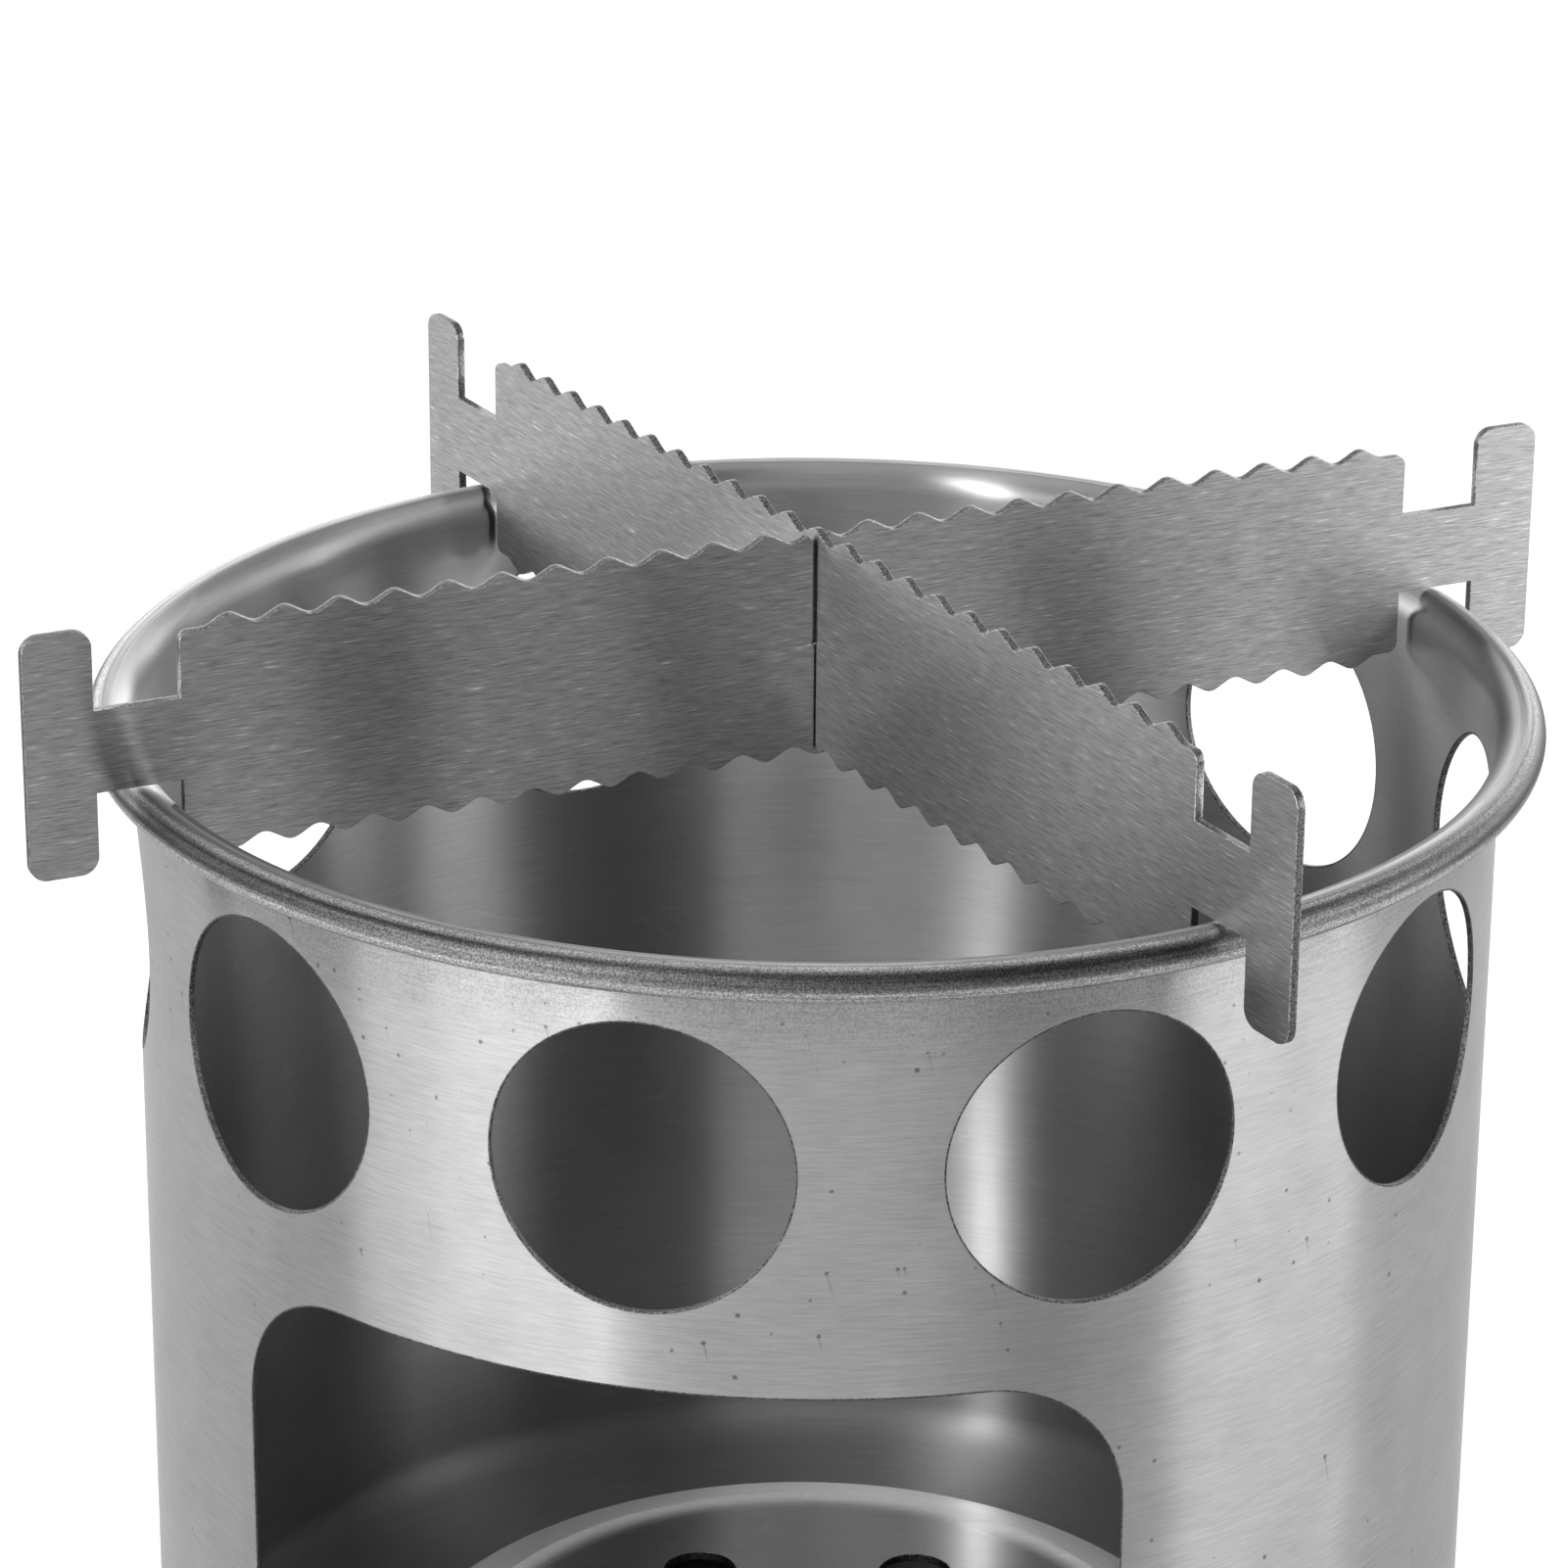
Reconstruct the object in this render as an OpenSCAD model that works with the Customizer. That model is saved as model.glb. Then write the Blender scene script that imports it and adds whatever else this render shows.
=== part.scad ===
// Twig stove: a drawn steel pot that burns twigs, with flue holes under a curled rim,
// a feed opening, a lift-out fire grate and a pot support of two half-lapped plates.
// Millimetres. The origin is on the ground at the pot's axis, +Z is up and the feed
// opening faces -Y.

/* [Body] */
// Outside diameter of the straight wall
body_d = 120; // [100:1:150]
// Height from the ground to the crest of the curled rim
body_h = 110; // [100:1:160]
// Thickness of the drawn sheet
sheet_t = 0.5; // [0.4:0.05:0.8]
// Inside radius of the corner between the wall and the floor
corner_r = 8; // [4:0.5:12]

/* [Curled rim] */
// Outside radius of the flare from the wall up to the crest
flare_r = 2.7; // [2:0.1:3.5]
// Outside radius of the curl from the crest to its widest point
curl_r = 1.65; // [1.3:0.05:2]
// Outside radius of the curl's tucked end, below its widest point
tuck_r = 1.5; // [1.1:0.05:1.8]
// Turn of the curl beyond the crest, in degrees
curl_turn = 222; // [180:1:235]

/* [Flue holes] */
// Number of flue holes round the wall
hole_n = 10; // [6:1:10]
// Diameter of a flue hole
hole_d = 25.4; // [15:0.1:27]
// Depth of the flue holes' centres below the crest of the rim
hole_drop = 19.6; // [18:0.1:22]

/* [Feed opening] */
// Width of the feed opening, measured round the wall
feed_w = 81.6; // [50:0.1:90]
// Height of the feed opening's sill above the ground
sill_h = 15.6; // [13:0.1:30]
// Corner radius of the feed opening
feed_r = 12.5; // [4:0.5:14]
// Depth of the feed opening's top edge below the crest of the rim
feed_drop = 39.4; // [38:0.1:42]

/* [Fire grate] */
// Width of the channel between the grate's skirt and the wall
channel_w = 17; // [13:0.5:25]
// Height of the grate from the foot of its skirt to its top
grate_h = 10.4; // [10:0.1:16]
// Thickness of the grate's sheet
grate_t = 0.8; // [0.5:0.1:1.2]
// Outside radius of the grate's pressed shoulder
grate_shoulder_r = 8.5; // [4:0.5:9.5]
// Diameter of an air hole in the grate
air_hole_d = 7; // [4:0.5:10]
// Number of air holes in the ring round the middle one
air_hole_n = 6; // [4:1:8]
// Distance of the ring of air holes from the edge of the grate's flat top
air_ring_inset = 13; // [10:0.5:16]
// Turn of the ring of air holes about the axis, in degrees
air_ring_turn = 13.4; // [0:0.1:90]
// Number of arched air gaps in the foot of the skirt
vent_n = 8; // [4:1:12]
// Width of an arched air gap at its foot
vent_w = 8; // [4:0.5:12]

/* [Pot support] */
// Gap between the curled rim and an end tab
tab_gap = 2.45; // [1:0.05:6]
// Thickness of a support plate
plate_t = 0.8; // [0.6:0.1:1.5]
// Height of a blade from crest to crest
blade_h = 21; // [16:0.1:21.6]
// Height of the neck that crosses the rim
neck_h = 7.4; // [4:0.1:9]
// Width of an end tab
tab_w = 6.1; // [4:0.1:7]
// Height of an end tab
tab_h = 21.8; // [18:0.1:24]
// Corner radius of an end tab
tab_r = 1.6; // [0.5:0.1:1.9]
// Gap between a blade's shoulder and the inside of the wall
shoulder_gap = 0.8; // [0.5:0.1:2]
// Corner radius of a blade's shoulder
shoulder_r = 0.9; // [0.3:0.1:1.2]
// Pitch of the teeth
tooth_pitch = 4.92; // [4:0.01:7]
// Depth of the teeth from crest to root
tooth_depth = 1; // [0.5:0.1:1.6]
// Play of a plate in the other one's slot, on each side
slot_play = 0.15; // [0.1:0.05:0.4]
// Lead-in radius at the mouth of a slot
slot_lead_r = 0.8; // [0.3:0.1:1]
// Turn of the lower plate about the axis, in degrees
lower_turn = 38.4; // [25:0.1:55]
// Turn of the upper plate about the axis, in degrees
upper_turn = -45.3; // [-60:0.1:-35]

/* [Fits] */
// Gap between a resting piece and its seat
seat_gap = 0.25; // [0.1:0.05:0.4]

/* [Hidden] */

// The shell's own lines: inside of the wall, ends of the wall and the crest of the rim
wall_in_r = body_d / 2 - sheet_t;
wall_foot_z = sheet_t + corner_r;
wall_top_z = body_h - flare_r;
crest_r = wall_in_r + flare_r;
rim_out_r = crest_r + curl_r;
curl_z = body_h - curl_r;

// The feed opening reaches from its sill up to its set depth below the rim
feed_h = body_h - feed_drop - sill_h;
feed_corner_r = min(feed_r, feed_w / 2, feed_h / 2);

// The grate stands on the floor inside
grate_foot_z = sheet_t + seat_gap;
grate_top_z = grate_foot_z + grate_h;
grate_r = wall_in_r - channel_w;
grate_flat_r = grate_r - grate_shoulder_r;
air_ring_r = grate_flat_r - air_ring_inset;

// Both plates lie level across the rim, each symmetrical above and below its neck
plate_z = body_h + seat_gap + neck_h / 2;
plate_l = 2 * (rim_out_r + tab_gap + tab_w);
blade_l = 2 * (wall_in_r - shoulder_gap);
crest_n = floor((blade_l / 2 - shoulder_r) / tooth_pitch - 0.5);
tooth_steps = 8;
bend_part = 0.14;

// A plate that isn't square to the other one needs a wider slot
skew = 90 - (lower_turn - upper_turn);
slot_w = plate_t / cos(skew) + plate_t * abs(tan(skew)) + 2 * slot_play;

// Clear overshoot for cuts
over = 1;
smooth = 180;

// Sector of the sheet bent to an outside radius, from one angle to another
module bent_sheet(out_r, t, from, to) {
    steps = ceil((to - from) / 45);
    intersection() {
        difference() {
            circle(r = out_r, $fn = smooth);
            circle(r = out_r - t, $fn = smooth);
        }
        polygon(concat([[0, 0]], [
            for (i = [0 : steps])
                let (a = from + (to - from) * i / steps) 2 * out_r * [cos(a), sin(a)]
        ]));
    }
}

// Half section of the drawn shell: floor, corner, wall, flare and curl in one sheet
module shell_section() {
    square([wall_in_r - corner_r, sheet_t]);
    translate([wall_in_r - corner_r, wall_foot_z]) bent_sheet(corner_r + sheet_t, sheet_t, 270, 360);
    translate([wall_in_r, wall_foot_z]) square([sheet_t, wall_top_z - wall_foot_z]);
    translate([crest_r, wall_top_z]) bent_sheet(flare_r, sheet_t, 90, 180);
    translate([crest_r, curl_z]) bent_sheet(curl_r, sheet_t, 0, 90);
    translate([crest_r + curl_r - tuck_r, curl_z]) bent_sheet(tuck_r, sheet_t, 90 - curl_turn, 0);
}

// A point at a distance round the wall, seen square on from the front
function round_wall(s) = body_d / 2 * sin(s * 360 / (PI * body_d));

// Outline of the feed opening: a rounded rectangle laid round the wall
function feed_outline(steps = 16) = [
    for (corner = [[1, 1, 0], [-1, 1, 90], [-1, -1, 180], [1, -1, 270]])
        for (i = [0 : steps])
            let (
                a = corner[2] + 90 * i / steps,
                s = corner[0] * (feed_w / 2 - feed_corner_r) + feed_corner_r * cos(a),
                z = corner[1] * (feed_h / 2 - feed_corner_r) + feed_corner_r * sin(a)
            ) [round_wall(s), z]
];

module stove_body() {
    color("silver")
    difference() {
        rotate_extrude($fn = smooth) shell_section();
        for (i = [0 : hole_n - 1])
            rotate([0, 0, 360 * i / hole_n])
            translate([0, 0, body_h - hole_drop])
            rotate([90, 0, 0])
            cylinder(d = hole_d, h = body_d / 2 + over, $fn = smooth);
        translate([0, 0, sill_h + feed_h / 2])
        rotate([90, 0, 0])
        linear_extrude(height = body_d / 2 + over) polygon(feed_outline());
    }
}

// Half section of the grate: a shallow dish pressed from sheet and turned upside down
module grate_section() {
    translate([0, grate_top_z - grate_t]) square([grate_flat_r, grate_t]);
    translate([grate_flat_r, grate_top_z - grate_shoulder_r]) bent_sheet(grate_shoulder_r, grate_t, 0, 90);
    translate([grate_r - grate_t, grate_foot_z]) square([grate_t, grate_h - grate_shoulder_r]);
}

module air_hole() {
    translate([0, 0, grate_top_z - grate_t - over])
    cylinder(d = air_hole_d, h = grate_t + 2 * over, $fn = smooth);
}

module fire_grate() {
    color("darkgray")
    difference() {
        rotate_extrude($fn = smooth) grate_section();
        air_hole();
        for (i = [0 : air_hole_n - 1])
            rotate([0, 0, air_ring_turn + 360 * i / air_hole_n])
            translate([air_ring_r, 0, 0])
            air_hole();
        for (i = [0 : vent_n - 1])
            rotate([0, 0, 360 * i / vent_n])
            translate([0, 0, grate_foot_z])
            rotate([90, 0, 0])
            cylinder(d = vent_w, h = grate_r + over, $fn = smooth);
    }
}

// Height of the tooth line above its roots, as a part of the tooth depth. The part of a
// pitch from the nearest crest gives a straight flank with a rounded crest and root.
function tooth_rise(s) =
    let (
        u = abs(s) / tooth_pitch,
        d = abs(u - round(u)),
        k = 1 / (0.5 - bend_part)
    )
    d < bend_part ? 1 - k * d * d / (2 * bend_part)
    : d > 0.5 - bend_part ? k * (0.5 - d) * (0.5 - d) / (2 * bend_part)
    : 1 - k * (d - bend_part / 2);

// Points of an arc about a centre, from one angle to another in six steps
function arc(centre, r, from, to) =
    [for (i = [0 : 6]) let (a = from + (to - from) * i / 6) centre + r * [cos(a), sin(a)]];

// Quarter of a support plate's outline: teeth from the middle crest, shoulder, neck, tab
function plate_quarter() =
    let (
        root = blade_h / 2 - tooth_depth,
        steps = (crest_n + 0.5) * tooth_steps,
        tab_in = plate_l / 2 - tab_w,
        tab_arc_y = tab_h / 2 - tab_r
    )
    concat(
        [
            for (i = [0 : steps])
                let (x = i * tooth_pitch / tooth_steps) [x, root + tooth_depth * tooth_rise(x)]
        ],
        arc([blade_l / 2 - shoulder_r, root - shoulder_r], shoulder_r, 90, 0),
        [[blade_l / 2, neck_h / 2], [tab_in, neck_h / 2]],
        arc([tab_in + tab_r, tab_arc_y], tab_r, 180, 90),
        arc([plate_l / 2 - tab_r, tab_arc_y], tab_r, 90, 0)
    );

// The whole outline: the quarter mirrored to all four sides
function plate_outline() =
    let (q = plate_quarter(), n = len(q) - 1)
    concat(
        q,
        [for (i = [n : -1 : 0]) [q[i][0], -q[i][1]]],
        [for (i = [1 : n]) [-q[i][0], -q[i][1]]],
        [for (i = [n : -1 : 1]) [-q[i][0], q[i][1]]]
    );

// Half-lap slot from the middle of the plate out through one toothed edge, with a
// rounded lead-in at its mouth
module lap_slot() {
    lead_x = slot_w / 2 + slot_lead_r;
    lead_y = blade_h / 2 - tooth_depth / 2 - slot_lead_r;
    half = concat(
        [[slot_w / 2, -seat_gap / 2]],
        arc([lead_x, lead_y], slot_lead_r, 180, 90),
        [[lead_x, blade_h / 2 + over]]
    );
    last = len(half) - 1;
    polygon(concat(half, [for (i = [last : -1 : 0]) [-half[i][0], half[i][1]]]));
}

// A plate standing on edge across the rim; its slot opens upwards, or downwards at 180
module support_plate(turn, slot_turn) {
    rotate([0, 0, turn])
    translate([0, plate_t / 2, plate_z])
    rotate([90, 0, 0])
    linear_extrude(height = plate_t)
    difference() {
        polygon(plate_outline());
        rotate([0, 0, slot_turn]) lap_slot();
    }
}

module support_plate_lower() {
    color("lightsteelblue") support_plate(lower_turn, 0);
}

module support_plate_upper() {
    color("lightslategray") support_plate(upper_turn, 180);
}

stove_body();
fire_grate();
support_plate_lower();
support_plate_upper();
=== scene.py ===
import bpy
import numpy as np
from mathutils import Matrix, Vector
from mathutils.geometry import tessellate_polygon


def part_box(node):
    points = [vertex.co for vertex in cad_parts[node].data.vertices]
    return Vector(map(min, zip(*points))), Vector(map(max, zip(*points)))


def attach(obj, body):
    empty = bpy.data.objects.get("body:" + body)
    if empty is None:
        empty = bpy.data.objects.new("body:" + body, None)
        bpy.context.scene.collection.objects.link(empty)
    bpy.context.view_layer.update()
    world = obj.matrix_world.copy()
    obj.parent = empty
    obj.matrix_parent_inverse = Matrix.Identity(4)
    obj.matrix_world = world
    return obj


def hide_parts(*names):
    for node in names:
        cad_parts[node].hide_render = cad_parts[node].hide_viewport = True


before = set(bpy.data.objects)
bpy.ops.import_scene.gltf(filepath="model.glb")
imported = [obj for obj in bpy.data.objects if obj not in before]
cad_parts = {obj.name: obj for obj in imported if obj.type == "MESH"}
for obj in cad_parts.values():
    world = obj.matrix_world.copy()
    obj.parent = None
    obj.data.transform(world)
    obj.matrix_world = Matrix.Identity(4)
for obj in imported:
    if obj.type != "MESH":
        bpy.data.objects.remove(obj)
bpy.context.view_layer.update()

mm = 0.001


# The stove's pot: one sheet of stainless steel drawn into a pot with a rounded corner at
# its floor. Its top edge is flared and rolled outwards into a hollow bead. Ten flue holes
# and the feed opening are punched through the wall, and the sheet's skin is brushed round.
pot_low, pot_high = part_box("stove_body")
sheet = 0.5 * mm
bead_r = 1.65 * mm
tuck_r = 1.5 * mm
flare_r = 2.7 * mm
tuck_degrees = -132
corner_r = 8 * mm
rim_z = pot_high.z
crest_r = min(-pot_low.x, pot_high.x, -pot_low.y, pot_high.y) - bead_r
bead_z = rim_z - bead_r
wall_in = crest_r - flare_r
wall_out = wall_in + sheet
wall_foot = sheet + corner_r
wall_top = rim_z - flare_r
cut_round = 0.06 * mm
burr_w = 0.12 * mm
flue_n = 10
flue_r = 12.7 * mm
flue_z = rim_z - 19.6 * mm
band_z = rim_z - 35.5 * mm
feed_half_w = 40.8 * mm
feed_top = rim_z - 39.4 * mm
feed_sill = 15.6 * mm
feed_corner = 12.5 * mm
feed_edge = np.radians(54)
columns_per_flue = 30
flue_rows = 26
flue_rings = 7
feed_rows = 24
feed_rings = 6
ring_growth = 1.2
row_side_arc = 1 / 3
column_side_arc = 1 / 7
cut_steps = 3
floor_rings = 5
bend_steps = 14
under_flare_steps = 10
under_bead_steps = 8
under_tuck_steps = 10
tuck_end_steps = 4
flare_skin_steps = 6
inner_skin_steps = 12
outer_skin, inner_skin, cut_skin, bead_skin = range(4)


def round_axis(azimuth, radius, height):
    """Points round the pot's axis: azimuth 0 is the front, -Y, and it grows towards +X."""
    azimuth, radius, height = np.broadcast_arrays(azimuth, radius, height)
    return np.stack([radius * np.sin(azimuth), -radius * np.cos(azimuth), height], -1)


def arc(centre, radius, start, end, steps):
    """Points of a circle's arc: the centre plus the radius along each angle, in degrees."""
    turn = np.radians(np.linspace(start, end, steps + 1))
    return np.array(centre) + radius * np.stack([np.cos(turn), np.sin(turn)], -1)


def lengths(line):
    """Distance along a line of points, from its first point."""
    return np.concatenate([[0], np.cumsum(np.linalg.norm(np.diff(line, axis=0), axis=1))])


def lathe(profile, azimuth, across, finish):
    """A profile of radius and height carried round the axis. The sheet coordinates are the
    distance round the wall and the distance across the brushing."""
    grid = round_axis(azimuth[:, None], profile[None, :, 0], profile[None, :, 1])
    sheet_at = np.stack(np.broadcast_arrays(azimuth[:, None] * wall_out, across[None, :]), -1)
    return grid, sheet_at, finish


def blend(inner, outer, shares):
    """Straight steps from each point of one line to the same point of another."""
    return inner[None] + (outer - inner)[None] * shares[:, None, None]


def make_piece(name, patches, finishes, flat=()):
    """One mesh from grids of points. Neighbours on a grid make a quad, points within a
    micrometre of each other become one, and a quad with a doubled corner a triangle. The
    finishes named in flat get flat shading."""
    points, sheet_at, quads, finish, count = [], [], [], [], 0
    for grid, place, slot in patches:
        rows, columns = grid.shape[:2]
        index = np.arange(rows * columns).reshape(rows, columns) + count
        quad = np.stack([index[:-1, :-1], index[1:, :-1], index[1:, 1:], index[:-1, 1:]], -1)
        quads.append(quad.reshape(-1, 4))
        finish.append(np.full(len(quads[-1]), slot))
        points.append(grid.reshape(-1, 3))
        sheet_at.append(place.reshape(-1, 2))
        count += rows * columns
    points, sheet_at = np.concatenate(points), np.concatenate(sheet_at)
    quads, finish = np.concatenate(quads), np.concatenate(finish)
    micrometres = np.round(points / (mm / 1000)).astype(np.int64)
    _, first, same = np.unique(micrometres, axis=0, return_index=True, return_inverse=True)
    corners = same.reshape(-1)[quads]
    kept = corners != np.roll(corners, -1, axis=1)
    sizes = kept.sum(1)
    real = sizes > 2
    loops = corners[real][kept[real]]
    mesh = bpy.data.meshes.new(name)
    mesh.vertices.add(len(first))
    mesh.vertices.foreach_set("co", points[first].ravel())
    mesh.loops.add(len(loops))
    mesh.loops.foreach_set("vertex_index", loops)
    mesh.polygons.add(int(real.sum()))
    starts = np.concatenate([[0], np.cumsum(sizes[real])[:-1]])
    mesh.polygons.foreach_set("loop_start", starts)
    mesh.polygons.foreach_set("material_index", finish[real])
    mesh.polygons.foreach_set("use_smooth", ~np.isin(finish[real], flat))
    mesh.uv_layers.new(name="sheet")
    mesh.uv_layers["sheet"].data.foreach_set("uv", sheet_at[quads][real][kept[real]].ravel())
    mesh.update(calc_edges=True)
    mesh.validate()
    for material in finishes:
        mesh.materials.append(material)
    piece = bpy.data.objects.new(name, mesh)
    bpy.context.scene.collection.objects.link(piece)
    return piece


def edge_profile(thickness):
    """Rounded cut edge from the inner skin to the outer one: the distance back from the cut
    and the depth below the outer skin."""
    back, deep = cut_round, thickness - cut_round
    inner = arc([back, deep], cut_round, 90, 180, cut_steps)
    outer = arc([back, back], cut_round, 180, 270, cut_steps)
    return np.concatenate([inner, outer])


def wall_patches(opening, border, rings, outer):
    """A stretch of wall round one opening: the burr beside the cut, and the skin beyond it.
    opening(back, radius) gives its edge as azimuths and heights at a distance back from the
    cut, and the rings blend from there to the border."""
    radius = wall_out if outer else wall_in
    near = opening(cut_round, radius)
    held = opening(cut_round + burr_w, radius)
    burr = np.stack([near, held])
    skin = blend(held, border, np.linspace(0, 1, rings + 1) ** ring_growth)
    patches = []
    for flat, finish in ((burr, cut_skin), (skin, outer_skin if outer else inner_skin)):
        flat = flat if outer else flat[::-1]
        patches.append((round_axis(flat[..., 0], radius, flat[..., 1]), flat * [wall_out, 1], finish))
    return patches


def cut_edge(opening):
    """The cut face of one opening through the wall, from the inner skin to the outer one."""
    rows = edge_profile(sheet)
    flat = np.stack([opening(back, wall_out - deep) for back, deep in rows])
    grid = round_axis(flat[..., 0], wall_out - rows[:, 1][:, None], flat[..., 1])
    return grid, flat * [wall_out, 1], cut_skin


def flue_opening(centre, turn):
    """Edge of a round flue hole bored square to the wall: its sideways reach is
    r cos(turn), which is an azimuth of asin(reach / radius), and its rise is r sin(turn)."""

    def edge(back, radius):
        reach = (flue_r + back) * np.cos(turn)
        rise = (flue_r + back) * np.sin(turn)
        return np.stack([centre + np.arcsin(reach / radius), flue_z + rise], -1)

    return edge


def frame_border(left, right, low, high, columns, rows):
    """Border of a patch of wall, anticlockwise from its lower right corner, as azimuths and
    heights."""
    across, up = np.linspace(left, right, columns + 1), np.linspace(low, high, rows + 1)
    sides = [(np.full(rows, right), up[:-1]), (across[:0:-1], np.full(columns, high))]
    sides += [(np.full(rows, left), up[:0:-1]), (across[:-1], np.full(columns, low))]
    border = np.concatenate([np.stack(side, -1) for side in sides])
    return np.concatenate([border, border[:1]])


def feed_opening(columns, rows):
    """Edge of the feed opening, a rounded rectangle laid round the wall and cut straight
    through to the front. Each side runs from the middle of one corner to the next one's:
    half an arc, a straight and half an arc. A half arc takes a set share of its side's
    steps, and turned counts the half arcs that lie behind."""
    half_h = (feed_top - feed_sill) / 2
    reach = [feed_half_w - feed_corner, half_h - feed_corner]
    centres, turns = [], []
    for side, steps in enumerate([rows, columns, rows, columns]):
        share = np.arange(steps) / steps
        arc_share = row_side_arc if steps == rows else column_side_arc
        straight = np.clip((share - arc_share) / (1 - 2 * arc_share), 0, 1) * 2 - 1
        turned = np.clip(share / arc_share, 0, 1) + np.clip((share - 1 + arc_share) / arc_share, 0, 1)
        turns.append(np.radians(90 * side - 45 + 45 * turned))
        fixed, sliding = reach[side % 2], reach[1 - side % 2] * straight
        sign = 1 if side < 2 else -1
        pair = (np.full(steps, sign * fixed), sign * sliding)
        centres.append(np.stack(pair if side % 2 == 0 else (-pair[1], pair[0]), -1))
    centres, turns = np.concatenate(centres), np.concatenate(turns)
    centres, turns = np.append(centres, centres[:1], 0), np.append(turns, turns[0])

    def edge(back, radius):
        flat = centres + (feed_corner + back) * np.stack([np.cos(turns), np.sin(turns)], -1)
        sideways = wall_out * np.sin(flat[:, 0] / wall_out)
        height = (feed_top + feed_sill) / 2 + flat[:, 1]
        return np.stack([np.arcsin(sideways / radius), height], -1)

    return edge


def pot_patches():
    """The pot's skins and cut edges: the floor and its rounded corner, the rim, and the
    wall's patches. The bead's finish runs from the flare's underside round the tucked end
    to just inside the crest."""
    step = 2 * np.pi / flue_n
    azimuth = np.linspace(-step / 2, 2 * np.pi - step / 2, flue_n * columns_per_flue + 1)
    patches = []
    floor_r = wall_in - corner_r
    rings = np.linspace(0, floor_r, floor_rings + 1)[:-1]
    under = np.concatenate([np.stack([rings, 0 * rings], -1),
                            arc([floor_r, wall_foot], corner_r + sheet, -90, 0, bend_steps)])
    inside = np.concatenate([np.stack([rings, 0 * rings + sheet], -1),
                             arc([floor_r, wall_foot], corner_r, -90, 0, bend_steps)])[::-1]
    patches.append(lathe(under, azimuth, lengths(under) - lengths(under)[-1] + wall_foot, outer_skin))
    patches.append(lathe(inside, azimuth, wall_foot - lengths(inside), inner_skin))
    tuck_x = crest_r + bead_r - tuck_r
    end_r = tuck_r - sheet / 2
    end_turn = tuck_degrees + np.degrees(sheet / 2 / end_r)
    end = arc([tuck_x, bead_z], end_r, end_turn, end_turn, 0)[0]
    under_rim = np.concatenate([
        arc([crest_r, wall_top], flare_r - sheet, 180, 90, under_flare_steps),
        arc([crest_r, bead_z], bead_r - sheet, 90, 0, under_bead_steps)[1:],
        arc([tuck_x, bead_z], tuck_r - sheet, 0, end_turn, under_tuck_steps)[1:],
        arc(end, sheet / 2, end_turn + 180, end_turn, tuck_end_steps)[1:-1],
    ])
    over_rim = np.concatenate([
        arc([tuck_x, bead_z], tuck_r, end_turn, 0, bend_steps),
        arc([crest_r, bead_z], bead_r, 0, 90, bend_steps)[1:],
        arc([crest_r, wall_top], flare_r, 90, 180, bend_steps)[1:],
    ])
    rim = np.concatenate([under_rim, over_rim])
    rim_across = lengths(rim) + wall_top
    bead_from, bead_to = flare_skin_steps, -inner_skin_steps
    stretches = ((slice(0, bead_from + 1), outer_skin), (slice(bead_from, bead_to), bead_skin),
                 (slice(bead_to - 1, None), inner_skin))
    for rows, finish in stretches:
        patches.append(lathe(rim[rows], azimuth, rim_across[rows], finish))
    side_columns = int(round((2 * np.pi - 2 * feed_edge) / step * columns_per_flue))
    beside = np.linspace(feed_edge, 2 * np.pi - feed_edge, side_columns + 1)
    heights = np.linspace(wall_foot, band_z, feed_rows + 1)
    outside, inside = (np.stack([0 * heights + radius, heights], -1) for radius in (wall_out, wall_in))
    patches.append(lathe(outside, beside, heights, outer_skin))
    patches.append(lathe(inside[::-1], beside, heights[::-1], inner_skin))
    feed_columns = int(round(2 * feed_edge / step * columns_per_flue))
    feed = feed_opening(feed_columns, feed_rows)
    feed_border = frame_border(-feed_edge, feed_edge, wall_foot, band_z, feed_columns, feed_rows)
    for outer in (True, False):
        patches += wall_patches(feed, feed_border, feed_rings, outer)
    patches.append(cut_edge(feed))
    for number in range(flue_n):
        centre = number * step
        border = frame_border(
            centre - step / 2, centre + step / 2, band_z, wall_top, columns_per_flue, flue_rows)
        turn = np.unwrap(np.arctan2(border[:, 1] - flue_z, (border[:, 0] - centre) * wall_out))
        flue = flue_opening(centre, turn)
        for outer in (True, False):
            patches += wall_patches(flue, border, flue_rings, outer)
        patches.append(cut_edge(flue))
    return patches


def put(tree, kind, settings=None, inputs=None):
    """One shader node. inputs are values, or outputs of other nodes, by name or number."""
    node = tree.nodes.new(kind)
    for name, value in (settings or {}).items():
        setattr(node, name, value)
    for name, value in (inputs or {}).items():
        if isinstance(value, bpy.types.NodeSocket):
            tree.links.new(value, node.inputs[name])
        else:
            node.inputs[name].default_value = value
    return node


def sums(tree, operation, first, second=0.0, third=0.0, clamp=False):
    """The output of one Math node."""
    settings = {"operation": operation, "use_clamp": clamp}
    return put(tree, "ShaderNodeMath", settings, {0: first, 1: second, 2: third}).outputs[0]


def ramp_between(tree, value, low, high):
    """0 below low, 1 above high, and smooth between them."""
    settings = {"interpolation_type": "SMOOTHSTEP"}
    return put(tree, "ShaderNodeMapRange", settings, {0: value, 1: low, 2: high}).outputs[0]


def ramp_down(tree, value, low, high):
    """1 below low, 0 above high, and smooth between them."""
    return sums(tree, "SUBTRACT", 1.0, ramp_between(tree, value, low, high))


def vectors(tree, operation, inputs):
    """The vector of one Vector Math node."""
    return put(tree, "ShaderNodeVectorMath", {"operation": operation}, inputs).outputs[0]


def axes(tree, place):
    """The three numbers of a place."""
    return put(tree, "ShaderNodeSeparateXYZ", None, {0: place}).outputs


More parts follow.
